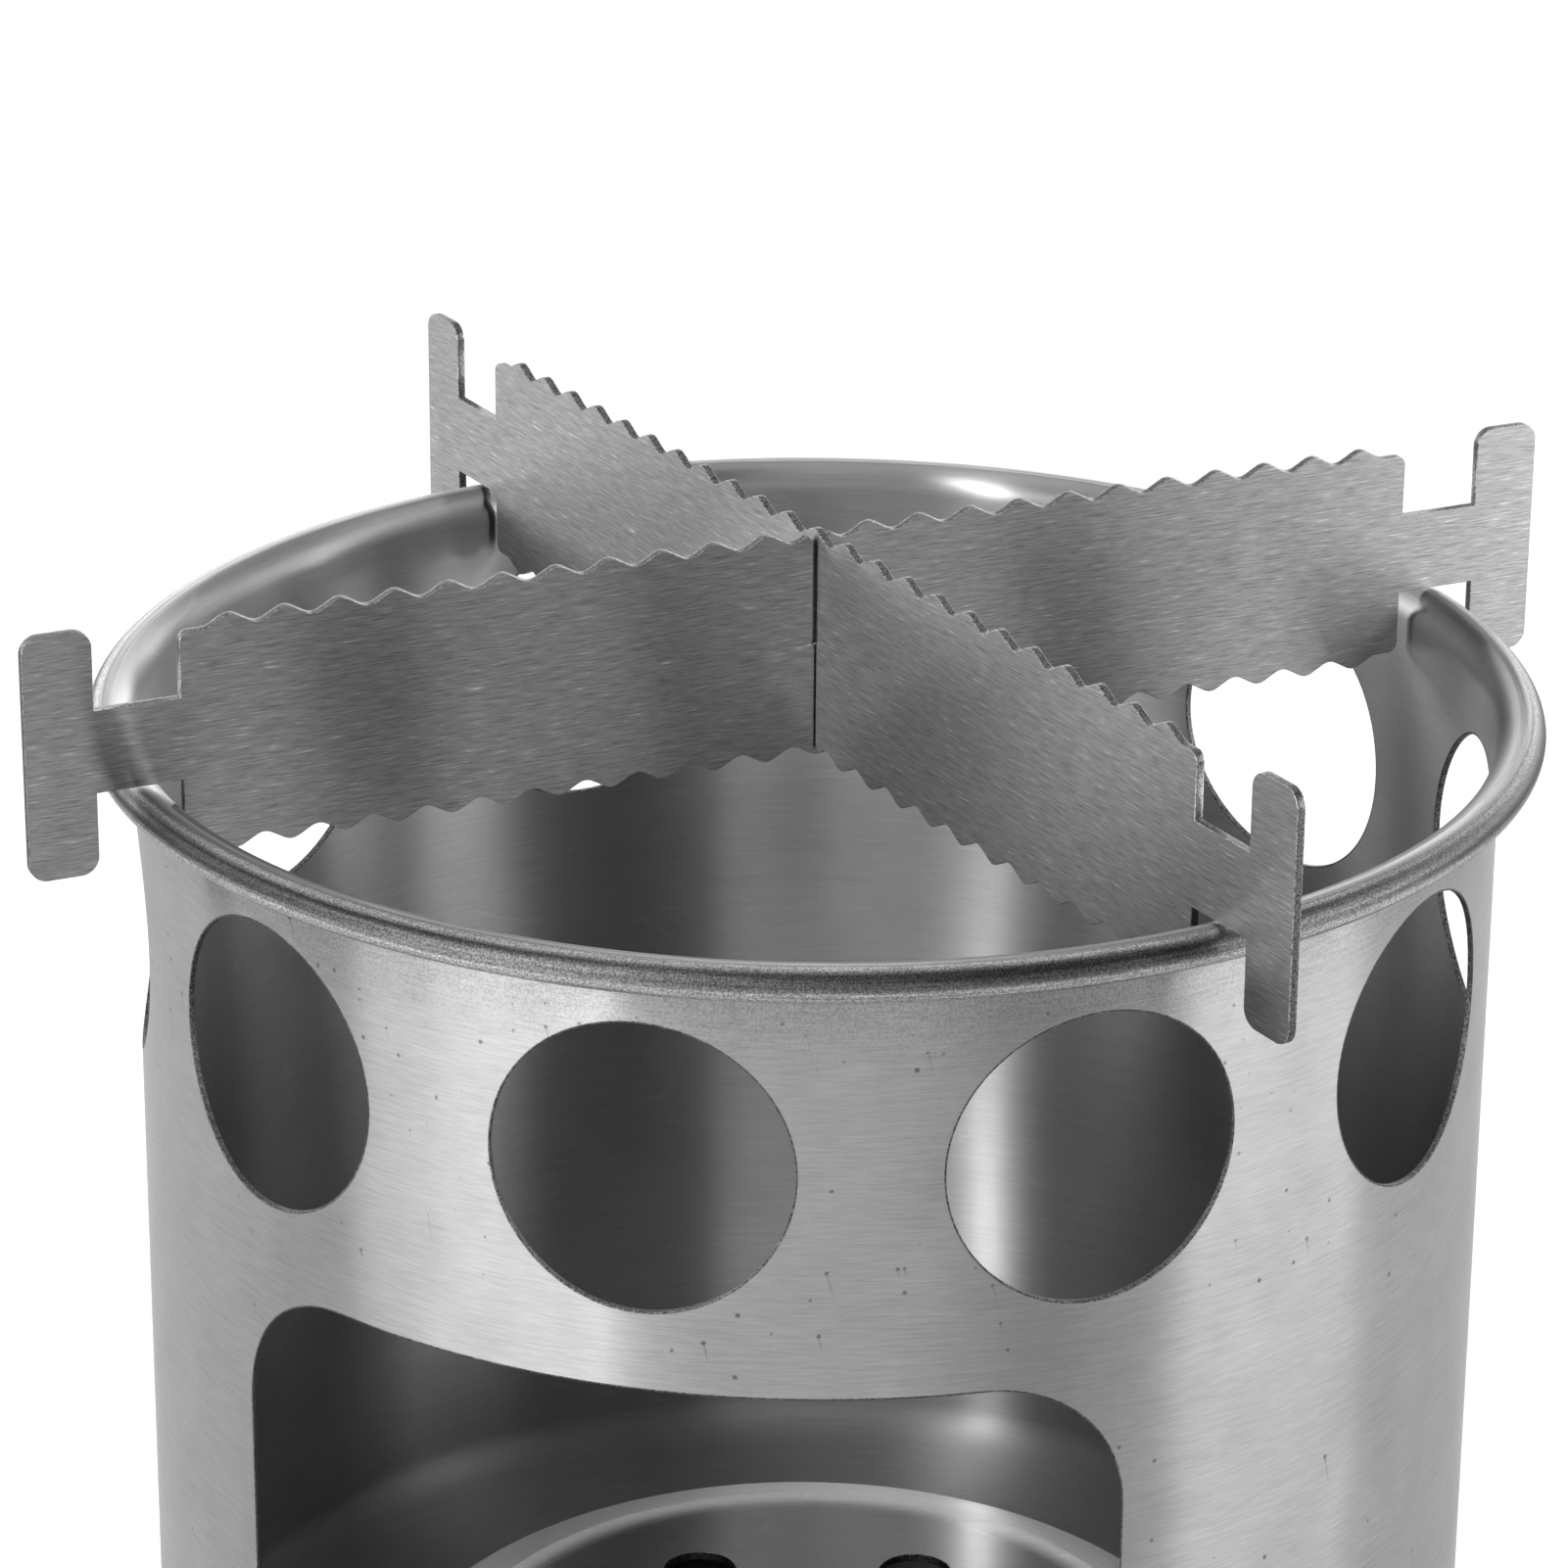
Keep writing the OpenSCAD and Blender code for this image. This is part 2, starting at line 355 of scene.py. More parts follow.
def new_group(name, inputs, outputs):
    """A shader node group with float or vector sockets."""
    group = bpy.data.node_groups.new(name, "ShaderNodeTree")
    for socket, kind in inputs.items():
        group.interface.new_socket(socket, in_out="INPUT", socket_type="NodeSocket" + kind)
    for socket, kind in outputs.items():
        group.interface.new_socket(socket, in_out="OUTPUT", socket_type="NodeSocket" + kind)
    return group, group.nodes.new("NodeGroupInput").outputs, group.nodes.new("NodeGroupOutput").inputs


def scaled(tree, place, size):
    """A place divided by a size, so that a noise of scale 1 has cells of that size."""
    return vectors(tree, "SCALE", {0: place, "Scale": 1 / size})


def in_cells(group, place, cell):
    """A place divided by the cell size that a group is given."""
    return vectors(group, "SCALE", {0: place, "Scale": sums(group, "DIVIDE", 1.0, cell)})


def noise(tree, place, detail=2.0, roughness=0.5):
    """The output of one Noise texture of scale 1, between 0 and 1 round a mean of 0.5."""
    inputs = {"Vector": place, "Scale": 1.0, "Detail": detail, "Roughness": roughness}
    return put(tree, "ShaderNodeTexNoise", None, inputs).outputs[0]


line_layers = ((1.0, 0.5, 2.0), (0.45, 0.3, 1.0), (2.3, 0.2, 2.0))


def brushing_group():
    """Brushed lines: stretched noises, each with its size, share and detail, whose Place is
    in line lengths along the brushing and line widths across it, and a slow cloud that
    follows the brushing more loosely."""
    group, given, made = new_group(
        "brushing", {"Place": "Vector"}, {"Lines": "Float", "Cloud": "Float"})
    total = 0.0
    for size, share, detail in line_layers:
        layer = noise(group, scaled(group, given["Place"], size), detail)
        total = sums(group, "MULTIPLY_ADD", layer, share, total)
    group.links.new(total, made["Lines"])
    slow = vectors(group, "MULTIPLY", {0: given["Place"], 1: (0.6, 0.6, 0.02)})
    group.links.new(noise(group, slow, 3.0), made["Cloud"])
    return group


torn_size = 0.22 * mm
torn_shift = 0.2 * mm
tail_sizes = 14.0


def nicks_group():
    """Small pits with uneven outlines, some with a short thin tail below. Each cell of a
    Voronoi texture holds one pit: its place on the sheet is the cell's own point, and its
    size, its tail's length and whether it is there come from the cell's random colour.
    Place, Cell and Pit are in metres."""
    group, given, made = new_group(
        "nicks", {"Place": "Vector", "Cell": "Float", "Pit": "Float", "Share": "Float"}, {"Mask": "Float"})
    torn = put(group, "ShaderNodeTexNoise", None, {
        "Vector": scaled(group, given["Place"], torn_size), "Scale": 1.0, "Detail": 1.0})
    uneven = vectors(group, "MULTIPLY_ADD", {
        0: torn.outputs["Color"], 1: (torn_shift, torn_shift, 0), 2: given["Place"]})
    place = in_cells(group, uneven, given["Cell"])
    cells = put(group, "ShaderNodeTexVoronoi", {"voronoi_dimensions": "2D"}, {
        "Vector": place, "Scale": 1.0})
    off = vectors(group, "SUBTRACT", {0: place, 1: cells.outputs["Position"]})
    off = vectors(group, "SCALE", {0: off, "Scale": given["Cell"]})
    own = put(group, "ShaderNodeSeparateColor", None, {0: cells.outputs["Color"]}).outputs
    sideways, up, _ = axes(group, off)
    size = sums(group, "MULTIPLY", given["Pit"], sums(group, "MULTIPLY_ADD", own[1], 0.7, 0.4))
    reach = put(group, "ShaderNodeVectorMath", {"operation": "LENGTH"}, {0: off}).outputs["Value"]
    pit = ramp_down(group, sums(group, "DIVIDE", reach, size), 0.5, 1.0)
    tailed = ramp_between(group, own[2], 0.6, 0.9)
    tail_length = sums(group, "MULTIPLY", size, sums(group, "MULTIPLY_ADD", tailed, tail_sizes, 0.1))
    along = sums(group, "DIVIDE", sums(group, "MULTIPLY", up, -1.0), tail_length)
    slant = sums(group, "MULTIPLY_ADD", own[2], 0.3, -0.02)
    lean = sums(group, "ABSOLUTE", sums(group, "MULTIPLY_ADD", up, slant, sideways))
    narrow = ramp_down(group, sums(group, "DIVIDE", lean, size), 0.1, 0.5)
    ahead = sums(group, "MULTIPLY", sums(group, "GREATER_THAN", along, 0.0), 0.6)
    fade = sums(group, "SUBTRACT", 1.0, along, clamp=True)
    tail = sums(group, "MULTIPLY", sums(group, "MULTIPLY", narrow, fade), ahead)
    there = sums(group, "LESS_THAN", own[0], given["Share"])
    strength = sums(group, "MULTIPLY", there, sums(group, "MULTIPLY_ADD", own[1], 0.6, 0.4))
    group.links.new(sums(group, "MULTIPLY", sums(group, "MAXIMUM", pit, tail), strength), made["Mask"])
    return group


scratch_warp = 0.9
scratch_w = 0.012


def scratches_group():
    """Long faint scratches: the borders between stretched, warped Voronoi cells, broken up
    by a noise. Place and Cell are in metres, and a scratch's width is a share of its cell."""
    group, given, made = new_group(
        "scratches", {"Place": "Vector", "Cell": "Float"}, {"Mask": "Float"})
    place = in_cells(group, given["Place"], given["Cell"])
    bent = put(group, "ShaderNodeTexNoise", None, {"Vector": place, "Scale": 0.7, "Detail": 0.0})
    warped = vectors(group, "MULTIPLY_ADD", {
        0: bent.outputs["Color"], 1: (scratch_warp, scratch_warp, scratch_warp), 2: place})
    cells = put(group, "ShaderNodeTexVoronoi", {"feature": "DISTANCE_TO_EDGE"}, {
        "Vector": warped, "Scale": 1.0})
    line = ramp_down(group, cells.outputs["Distance"], 0.0, scratch_w)
    here = ramp_between(group, noise(group, place, 2.0), 0.5, 0.62)
    group.links.new(sums(group, "MULTIPLY", line, here), made["Mask"])
    return group


brushing = brushing_group()
nicks = nicks_group()
scratches = scratches_group()


def use_group(tree, group, inputs):
    """A node group placed in a material."""
    return put(tree, "ShaderNodeGroup", {"node_tree": group}, inputs).outputs


def steel(name, shade, roughness, anisotropic, build):
    """A metal whose build(tree, shader) links its tone, roughness and relief. Highlights
    spread across the brushing, whose direction is the sheet map's first axis."""
    material = bpy.data.materials.new(name)
    material.use_nodes = True
    tree = material.node_tree
    tree.nodes.clear()
    shader = put(tree, "ShaderNodeBsdfPrincipled", None, {
        "Base Color": (*[shade] * 3, 1), "Metallic": 1.0, "Roughness": roughness,
        "Anisotropic": anisotropic, "Anisotropic Rotation": 0.25})
    tangent = put(tree, "ShaderNodeTangent", {"direction_type": "UV_MAP", "uv_map": "sheet"})
    tree.links.new(tangent.outputs[0], shader.inputs["Tangent"])
    build(tree, shader)
    output = put(tree, "ShaderNodeOutputMaterial")
    tree.links.new(shader.outputs[0], output.inputs[0])
    return material


def sheet_place(tree):
    """The distance along the brushing and across it, in metres, from the sheet map."""
    flat = put(tree, "ShaderNodeUVMap", {"uv_map": "sheet"}).outputs[0]
    return flat, axes(tree, flat)


def object_place(tree):
    """Object coordinates, in metres."""
    return put(tree, "ShaderNodeTexCoord").outputs["Object"]


def round_lines(tree, length, width):
    """Place of lines that run round the axis: Object x and y in line lengths, and the
    distance across the brushing in line widths."""
    sideways, back, _ = axes(tree, object_place(tree))
    across = sheet_place(tree)[1][1]
    return put(tree, "ShaderNodeCombineXYZ", None, {
        0: sums(tree, "DIVIDE", sideways, length), 1: sums(tree, "DIVIDE", back, length),
        2: sums(tree, "DIVIDE", across, width)}).outputs[0]


def set_grey(tree, shader, grey):
    """Links a value to all three colours of the metal."""
    colour = put(tree, "ShaderNodeCombineColor", None, {0: grey, 1: grey, 2: grey})
    tree.links.new(colour.outputs[0], shader.inputs["Base Color"])


def set_relief(tree, shader, height, depth):
    """Links a height to the metal's normal, its swing from 0 to 1 being depth metres."""
    bump = put(tree, "ShaderNodeBump", None, {"Strength": 1.0, "Distance": depth, "Height": height})
    tree.links.new(bump.outputs[0], shader.inputs["Normal"])


def swing(tree, value, low, high):
    """A value of 0 to 1 mapped to a factor from low to high."""
    return put(tree, "ShaderNodeMapRange", None, {0: value, 3: low, 4: high}).outputs[0]


def varied(tree, grey, value, low, high):
    """A grey times a factor that swings from low to high with a value of 0 to 1."""
    return sums(tree, "MULTIPLY", grey, swing(tree, value, low, high))


def brighten(tree, grey, mask, share):
    """A grey that gains a share of itself where the mask is 1."""
    return sums(tree, "MULTIPLY", grey, sums(tree, "MULTIPLY_ADD", mask, share, 1.0))


def darken(tree, grey, mask, share):
    """A grey that loses a share of itself where the mask is 1."""
    return brighten(tree, grey, mask, -share)


pot_grey = 0.41
outside_line_l = 3.2 * mm
outside_line_w = 0.16 * mm
pit_patch = 13 * mm
pits_from = 62 * mm
pits_full = 98 * mm
dense_pits = {"Cell": 2.7 * mm, "Pit": 0.26 * mm}
dense_share = 0.7
lone_pits = {"Cell": 7 * mm, "Pit": 0.25 * mm, "Share": 0.35}
rolled_from = wall_top - 10 * mm
rolled_full = wall_top + 1 * mm
rolled_grain = 0.2 * mm
outside_relief = 3e-6


def build_pot_outside(tree, shader):
    """Fine lines round the wall, pits and nicks that grow dense in patches towards the rim,
    and a leathery grain in the last few millimetres below it, where the sheet was rolled."""
    brushed = use_group(tree, brushing, {"Place": round_lines(tree, outside_line_l, outside_line_w)})
    flat, (_, across, _) = sheet_place(tree)
    here = object_place(tree)
    grey = varied(tree, pot_grey, brushed["Lines"], 0.6, 1.4)
    grey = varied(tree, grey, brushed["Cloud"], 0.9, 1.1)
    patchy = ramp_between(tree, noise(tree, scaled(tree, here, pit_patch), 1.0), 0.38, 0.62)
    upper = ramp_between(tree, across, pits_from, pits_full)
    share = sums(tree, "MULTIPLY", sums(tree, "MULTIPLY", patchy, upper), dense_share)
    pits = use_group(tree, nicks, {"Place": flat, "Share": share, **dense_pits})["Mask"]
    few = use_group(tree, nicks, {"Place": flat, **lone_pits})["Mask"]
    marks = sums(tree, "MAXIMUM", pits, few)
    grain = noise(tree, scaled(tree, here, rolled_grain), 2.0, 0.6)
    rolled = ramp_between(tree, across, rolled_from, rolled_full)
    speckle = sums(tree, "MULTIPLY", ramp_between(tree, grain, 0.38, 0.66), rolled)
    grey = darken(tree, grey, marks, 0.62)
    set_grey(tree, shader, darken(tree, grey, speckle, 0.36))
    tree.links.new(swing(tree, brushed["Cloud"], 0.28, 0.31), shader.inputs["Roughness"])
    height = sums(tree, "MULTIPLY_ADD", sums(tree, "MULTIPLY", grain, rolled), 1.4, brushed["Lines"])
    height = sums(tree, "MULTIPLY_ADD", marks, -1.5, height)
    set_relief(tree, shader, height, outside_relief)


inside_grey = 0.36
inside_line_l = 6 * mm
inside_line_w = 0.24 * mm
inside_scratch = {"Rotation": (0, 0, 0.35), "Scale": (0.16, 1, 1)}
inside_scratch_cell = 5 * mm
dull_shade_below = 0.4 * wall_foot
dull_shade_until = 1.1 * wall_foot
inside_relief = 4e-6


def build_pot_inside(tree, shader):
    """Brushed in the same way, with faint long scratches, and rougher in the drawn corner, whose colour is
    also darkened there as painted shade.
    """
    brushed = use_group(tree, brushing, {"Place": round_lines(tree, inside_line_l, inside_line_w)})
    flat, _ = sheet_place(tree)
    tilted = put(tree, "ShaderNodeMapping", None, {"Vector": flat, **inside_scratch}).outputs[0]
    lines = use_group(tree, scratches, {"Place": tilted, "Cell": inside_scratch_cell})["Mask"]
    grey = varied(tree, inside_grey, brushed["Lines"], 0.8, 1.2)
    grey = varied(tree, grey, brushed["Cloud"], 0.86, 1.14)
    dull_and_shade = ramp_down(tree, axes(tree, object_place(tree))[2], dull_shade_below, dull_shade_until)
    # painted shade: the colour is darkened in the corner at the floor, where the roughness also rises
    grey = darken(tree, grey, dull_and_shade, 0.15)
    set_grey(tree, shader, brighten(tree, grey, lines, 0.12))
    tree.links.new(swing(tree, dull_and_shade, 0.28, 0.5), shader.inputs["Roughness"])
    height = sums(tree, "MULTIPLY_ADD", lines, 0.3, brushed["Lines"])
    set_relief(tree, shader, height, inside_relief)


def axis_distance(tree):
    """Distance from the pot's axis: the length of Object x and y."""
    flat = vectors(tree, "MULTIPLY", {0: object_place(tree), 1: (1, 1, 0)})
    return put(tree, "ShaderNodeVectorMath", {"operation": "LENGTH"}, {0: flat}).outputs["Value"]


bead_grey = 0.5
bead_line_l = 7 * mm
bead_line_w = 0.13 * mm
streak_l = 50 * mm
streak_w = 0.42 * mm
bead_grain = 0.17 * mm
bead_relief = 6e-6


def build_bead(tree, shader):
    """Rolled over a tool: long drawn lines over the crest, a band of painted shade
    between the crest and the outermost line, painted light on the lip below that line, and a
    sandy grain from the band down. The turn round the bead is 90 degrees at the crest and 0
    at the outermost line."""
    brushed = use_group(tree, brushing, {"Place": round_lines(tree, bead_line_l, bead_line_w)})
    here = object_place(tree)
    above = sums(tree, "SUBTRACT", axes(tree, here)[2], bead_z)
    turn = sums(tree, "ARCTAN2", above, sums(tree, "SUBTRACT", axis_distance(tree), crest_r))
    turn = sums(tree, "DEGREES", turn)
    # painted shade: a dark band on the bead's upper outer face, between the crest and the outermost line
    painted_shade_band = ramp_between(tree, turn, -8, 14)
    painted_shade_band = sums(tree, "MULTIPLY", painted_shade_band, ramp_down(tree, turn, 44, 66))
    drawn = noise(tree, round_lines(tree, streak_l, streak_w), 1.0)
    grey = varied(tree, bead_grey, brushed["Lines"], 0.3, 1.7)
    grey = varied(tree, grey, drawn, 0.2, 1.8)
    grey = darken(tree, grey, painted_shade_band, 0.8)
    # painted light: the colour is half as bright again on the lip below the outermost line
    grey = varied(tree, grey, ramp_between(tree, turn, -16, 4), 1.5, 1.0)
    sandy = ramp_down(tree, turn, 60, 110)
    grain = noise(tree, scaled(tree, here, bead_grain), 2.0, 0.6)
    speckle = sums(tree, "MULTIPLY", ramp_between(tree, grain, 0.34, 0.64), sandy)
    set_grey(tree, shader, darken(tree, grey, speckle, 0.6))
    sand = sums(tree, "MULTIPLY", grain, sandy)
    set_relief(tree, shader, sums(tree, "MULTIPLY_ADD", sand, 2.4, brushed["Lines"]), bead_relief)


cut_grey = 0.17
cut_grain = 0.2 * mm
sheared_relief = 4e-5


def build_cut_edge(tree, shader):
    """Sheared metal: torn, with a coarse grain and a smooth bright burr in places."""
    coarse = noise(tree, scaled(tree, object_place(tree), cut_grain), 3.0, 0.7)
    torn = ramp_between(tree, coarse, 0.35, 0.62)
    set_grey(tree, shader, varied(tree, cut_grey, torn, 1.3, 0.22))
    set_relief(tree, shader, coarse, sheared_relief)


pot_outside = steel("pot_outside", pot_grey, 0.3, 1.0, build_pot_outside)
pot_inside = steel("pot_inside", inside_grey, 0.28, 1.0, build_pot_inside)
pot_cut = steel("pot_cut_edge", cut_grey, 0.5, 0.0, build_cut_edge)
pot_bead = steel("pot_bead", bead_grey, 0.4, 0.0, build_bead)
pot = make_piece("pot", pot_patches(), [pot_outside, pot_inside, pot_cut, pot_bead])
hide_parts("stove_body")
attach(pot, "stove")


# The fire grate: a shallow dish pressed from thicker sheet and laid upside down on the
# pot's floor, with air holes drilled in its top and arched gaps cut round its foot.
grate_low, grate_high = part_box("fire_grate")
grate_t = 0.8 * mm
shoulder_r = 8.5 * mm
grate_r = grate_high.x
grate_top = grate_high.z
grate_foot = grate_low.z
flat_r = grate_r - shoulder_r
skirt_h = grate_top - grate_foot - shoulder_r
air_r = 3.5 * mm
air_ring = flat_r - 13 * mm
air_n = 6
air_turn = np.radians(13.4)
vent_n = 8
vent_r = 4 * mm
brush_turn = np.radians(13.4)
level_ring_w = 0.5 * mm
skirt_rows = 20
air_steps = 48
vent_steps = 16
between_steps = 12
pressed_face, sheared_face, level_face = range(3)


def grate_columns():
    """Azimuth of each column round the skirt and the height of its lower end above the
    foot: the half circle of each vent, r sin(turn) high at r cos(turn) from its middle,
    and level stretches between the vents."""
    turn = np.linspace(0, np.pi, vent_steps + 1)
    inside = -np.arcsin(vent_r * np.cos(turn) / grate_r)
    step = 2 * np.pi / vent_n
    between = np.linspace(inside[-1], step + inside[0], between_steps + 1)[1:-1]
    azimuth = np.concatenate([inside, between])
    height = np.concatenate([vent_r * np.sin(turn), 0 * between])
    every = (np.arange(vent_n)[:, None] * step + azimuth).ravel()
    height = np.append(np.tile(height, vent_n), height[0])
    return np.append(every, every[0] + 2 * np.pi), height


def skirt_grid(azimuth, lower, depth, rows):
    """The shoulder's quarter circle and the straight skirt below it, at a depth under the
    outer face, from the flat top down to each column's lower end."""
    bend = shoulder_r * np.pi / 2
    in_bend = np.arcsin(np.clip((lower - skirt_h) / shoulder_r, 0, 1))
    end = np.where(lower > skirt_h, bend - shoulder_r * in_bend, bend + skirt_h - lower)
    run = np.linspace(0, 1, rows)[:, None] * end[None, :]
    angle = np.pi / 2 - np.clip(run / shoulder_r, 0, np.pi / 2)
    radius = flat_r + (shoulder_r - depth) * np.cos(angle)
    height = grate_top - shoulder_r + (shoulder_r - depth) * np.sin(angle) - np.clip(run - bend, 0, None)
    grid = round_axis(azimuth[None, :], radius, height)
    place = np.stack(np.broadcast_arrays(azimuth[None, :] * grate_r, flat_r + run), -1)
    return grid, place


def brushed_across(points):
    """Sheet coordinates on the flat top: along the sheet's brushing and across it."""
    along = points[..., 0] * np.cos(brush_turn) + points[..., 1] * np.sin(brush_turn)
    across = points[..., 1] * np.cos(brush_turn) - points[..., 0] * np.sin(brush_turn)
    return np.stack([along, across], -1)


def filled(loops):
    """Points and triangles of the flat face inside the first loop of points and outside the
    others. Each triangle is turned to run anticlockwise."""
    tris = np.array(tessellate_polygon([np.pad(loop, ((0, 0), (0, 1))).tolist() for loop in loops]))
    flat = np.concatenate(loops)
    turned = np.cross(flat[tris[:, 1]] - flat[tris[:, 0]], flat[tris[:, 2]] - flat[tris[:, 0]])
    tris[turned < 0] = tris[turned < 0][:, ::-1]
    return flat, tris


def grate_patches():
    """The skirt's two faces and its lower edge, the walls of the air holes with rounded
    corners, and the two flat faces: a narrow ring beside the shoulder, and a filled face
    between that ring and the holes, which alone of the skin has flat shading."""
    azimuth, lower = grate_columns()
    outer, outer_place = skirt_grid(azimuth, lower, 0, skirt_rows)
    inner, inner_place = skirt_grid(azimuth, lower, grate_t, skirt_rows)
    edge = np.stack([outer[-1], inner[-1]])
    edge_place = np.stack([outer_place[-1], inner_place[-1]])
    patches = [(outer, outer_place, pressed_face), (inner[::-1], inner_place[::-1], pressed_face),
               (edge, edge_place, sheared_face)]
    around = air_turn + np.arange(air_n) * 2 * np.pi / air_n
    middles = air_ring * np.stack([np.cos(around), np.sin(around)], -1)
    rows = edge_profile(grate_t)
    turn = np.linspace(0, 2 * np.pi, air_steps + 1)
    ring = np.stack([np.cos(turn), np.sin(turn)], -1)
    wall_place = np.stack(np.broadcast_arrays(turn[None] * air_r, rows[:, 1:]), -1)
    rims = []
    for middle in np.concatenate([[[0, 0]], middles]):
        flat = middle + (air_r + rows[:, :1])[:, None] * ring[None]
        heights = np.broadcast_to((grate_top - rows[:, 1])[:, None, None], flat[..., :1].shape)
        patches.append((np.concatenate([flat, heights], -1), wall_place, sheared_face))
        rims.append(flat[0, :-1])
    level_r = outer[0, :, :2] * (1 - level_ring_w / flat_r)
    for height, order in ((grate_top, 1), (grate_top - grate_t, -1)):
        ring = np.stack([level_r, outer[0, :, :2]])[::order]
        ring = np.concatenate([ring, np.full(ring[..., :1].shape, height)], -1)
        patches.append((ring, brushed_across(ring), pressed_face))
    flat, tris = filled([level_r[:-1]] + rims)
    for height, order in ((grate_top, (0, 1, 2)), (grate_top - grate_t, (2, 1, 0))):
        corners = flat[tris[:, order]]
        level = np.concatenate([corners, np.full(corners[..., :1].shape, height)], -1)
        cell = np.stack([level[:, [0, 2]], level[:, [1, 2]]], 1)
        patches += [(one, brushed_across(one), level_face) for one in cell]
    return patches


def straight_lines(tree, length, width):
    """Place of lines along the sheet map's first axis: the distance along it in line
    lengths, and the distance across it in line widths."""
    along, across, _ = sheet_place(tree)[1]
    return put(tree, "ShaderNodeCombineXYZ", None, {
        0: sums(tree, "DIVIDE", along, length), 2: sums(tree, "DIVIDE", across, width)}).outputs[0]


grate_grey = 0.45
grate_line_l = 12 * mm
grate_line_w = 0.2 * mm
grate_scratch_cell = 7 * mm
shoulder_highlight_from = flat_r - 3.5 * mm
shoulder_highlight_full = flat_r - 0.5 * mm
grate_relief = 4e-6


def build_grate(tree, shader):
    """Sheet brushed one way before it was pressed, with faint scratches. The shoulder is matt,
    with a painted highlight in its colour."""
    brushed = use_group(tree, brushing, {"Place": straight_lines(tree, grate_line_l, grate_line_w)})
    lines = use_group(tree, scratches, {"Place": sheet_place(tree)[0], "Cell": grate_scratch_cell})["Mask"]
    shoulder = ramp_between(tree, axis_distance(tree), shoulder_highlight_from, shoulder_highlight_full)
    grey = varied(tree, grate_grey, brushed["Lines"], 0.75, 1.25)
    # painted highlight: the shoulder's colour is brightened, while its roughness rises to matt
    grey = brighten(tree, grey, shoulder, 0.9)
    set_grey(tree, shader, brighten(tree, grey, lines, 0.2))
    tree.links.new(swing(tree, shoulder, 0.22, 0.5), shader.inputs["Roughness"])
    set_relief(tree, shader, brushed["Lines"], grate_relief)


grate_skin = steel("grate_skin", grate_grey, 0.25, 0.7, build_grate)
grate_cut = steel("grate_cut_edge", cut_grey, 0.4, 0.0, build_cut_edge)
grate = make_piece("grate", grate_patches(), [grate_skin, grate_cut, grate_skin],
                   flat=(sheared_face, level_face))
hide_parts("fire_grate")
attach(grate, "grate")


# The pot support: two toothed plates cut from thicker sheet, half-lapped at their middles.
# Their necks rest on the bead and the tabs beyond it keep them in place.
plate_t = 0.8 * mm
plate_l = 144.8 * mm
blade_l = 117.4 * mm
blade_h = 21 * mm
neck_h = 7.4 * mm
tab_w = 6.1 * mm
tab_h = 21.8 * mm
tab_r = 1.6 * mm
blade_corner_r = 0.9 * mm
tooth_pitch = 4.92 * mm
tooth_depth = 1 * mm
crest_n = 11
bend_part = 0.14
slot_half = 0.597 * mm
slot_gap = 0.25 * mm
slot_lead = 0.8 * mm
seat_gap = 0.25 * mm
steps_per_tooth = 20
least_step = 0.02 * mm
lead_steps = 16
corner_steps = 8
tab_steps = 10
plate_z = rim_z + seat_gap + neck_h / 2
plate_turn = {"support_plate_lower": np.radians(38.4), "support_plate_upper": np.radians(-45.3)}
plate_body = {"support_plate_lower": "lower_plate", "support_plate_upper": "upper_plate"}


def tooth_line(x):
    """Height of the toothed edge above the plate's middle line: straight flanks, and crests
    and roots rounded as parabolas."""
    part = np.abs(x) / tooth_pitch
    off = np.abs(part - np.round(part))
    slope = 1 / (0.5 - bend_part)
    crest = 1 - slope * off ** 2 / (2 * bend_part)
    root = slope * (0.5 - off) ** 2 / (2 * bend_part)
    flank = 1 - slope * (off - bend_part / 2)
    rise = np.where(off < bend_part, crest, np.where(off > 0.5 - bend_part, root, flank))
    return blade_h / 2 - tooth_depth + tooth_depth * rise


def plate_quarter(slotted):
    """A quarter of a plate's outline, from its middle out to its end: the slot's side and
    rounded lead-in where it is slotted, the teeth, the shoulder, the neck and the tab."""
    x = np.linspace(0, (crest_n + 0.5) * tooth_pitch, int((crest_n + 0.5) * steps_per_tooth) + 1)
    root = blade_h / 2 - tooth_depth
    tab_in = plate_l / 2 - tab_w
    start = np.zeros((0, 2))
    if slotted:
        middle = [slot_half + slot_lead, blade_h / 2 - tooth_depth / 2 - slot_lead]
        lead = arc(middle, slot_lead, 180, 90, lead_steps)
        lead = lead[lead[:, 1] < tooth_line(lead[:, 0])]
        start = np.concatenate([[[slot_half, -slot_gap / 2]], lead])
        x = x[x > lead[-1, 0] + least_step]
    return np.concatenate([
        start,
        np.stack([x, tooth_line(x)], -1),
        arc([blade_l / 2 - blade_corner_r, root - blade_corner_r], blade_corner_r, 90, 0, corner_steps),
        [[blade_l / 2, neck_h / 2], [tab_in, neck_h / 2]],
        arc([tab_in + tab_r, tab_h / 2 - tab_r], tab_r, 180, 90, tab_steps),
        arc([plate_l / 2 - tab_r, tab_h / 2 - tab_r], tab_r, 90, 0, tab_steps),
    ])


def plate_outline(slot_up):
    """The whole outline, anticlockwise: four quarters, two of them with the slot."""
    above, below = plate_quarter(slot_up), plate_quarter(not slot_up) * [1, -1]
    right = np.concatenate([below[1 if slot_up else 0:], above[::-1][:None if slot_up else -1]])
    left = right[::-1] * [-1, 1]
    outline = np.concatenate([right, left])
    twice = np.linalg.norm(outline - np.roll(outline, 1, axis=0), axis=1) < 1e-7
    return outline[~twice]


def inset(outline, distance):
    """The outline moved inwards by a distance, with mitred corners."""
    ahead = np.roll(outline, -1, axis=0) - outline
    ahead /= np.linalg.norm(ahead, axis=1)[:, None]
    inward = np.stack([-ahead[:, 1], ahead[:, 0]], -1)
    before = np.roll(inward, 1, axis=0)
    mitre = (inward + before) / (1 + (inward * before).sum(1))[:, None]
    return outline + distance * mitre


